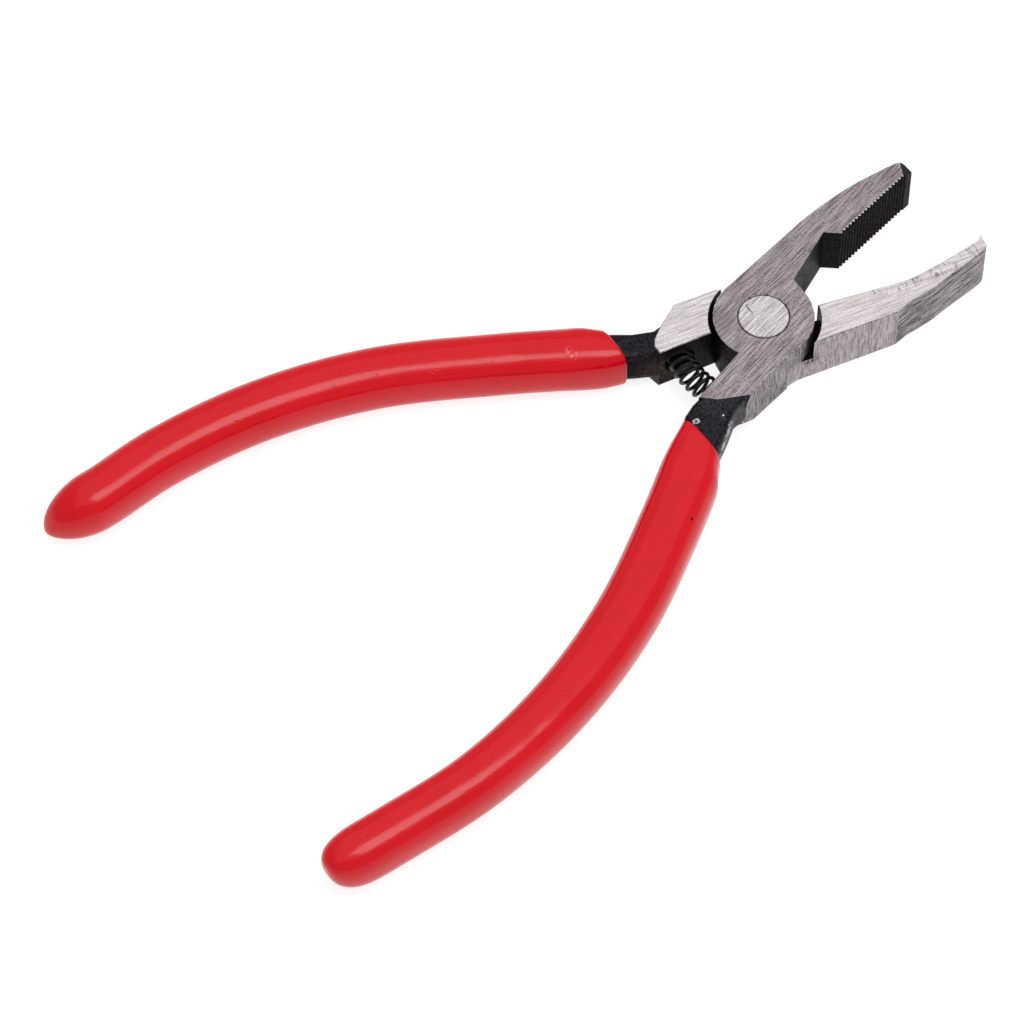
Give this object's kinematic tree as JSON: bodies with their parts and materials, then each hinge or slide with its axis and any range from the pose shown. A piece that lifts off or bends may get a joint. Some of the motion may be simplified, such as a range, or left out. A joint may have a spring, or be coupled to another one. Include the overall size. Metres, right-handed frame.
{
  "type": "glass nippers",
  "caption": "Lap-jointed glass nippers with one flat serrated jaw, one curved jaw, a riveted pivot, a return spring and dipped handles.",
  "frame": {"origin": "on the pivot axis, at the rivet's back end, level with the back faces that the tool rests on", "axes": "+Y from the handles to the jaws along the tool's middle line, +Z along the pivot axis out of the front face, +X towards the curved jaw's side"},
  "size_m": [0.0846, 0.1492, 0.01],
  "materials": {
    "front_lever_steel": "lengthwise ground faces, black oxide on the neck and the gripping face",
    "back_lever_steel": "bright ground faces with grind marks, black oxide on the neck",
    "rivet_steel": "bright, ground flush",
    "spring_steel": "black oiled spring wire",
    "grip_vinyl": "glossy dipped vinyl"
  },
  "bodies": {
    "front_half": {"front_lever": "front_lever_steel", "front_grip": "grip_vinyl", "pivot_rivet": "rivet_steel", "return_spring": "spring_steel"},
    "back_half": {"back_lever": "back_lever_steel", "back_grip": "grip_vinyl"}
  },
  "joints": [
    {"name": "pivot", "type": "hinge", "parent": "front_half", "child": "back_half", "pos_m": [0, 0, 0.005], "axis": [0, 0, 1], "range_deg": [0, 25], "stiffness_Nm_per_rad": 0.25, "springref_deg": -5.73, "deforming": ["return_spring"]}
  ]
}
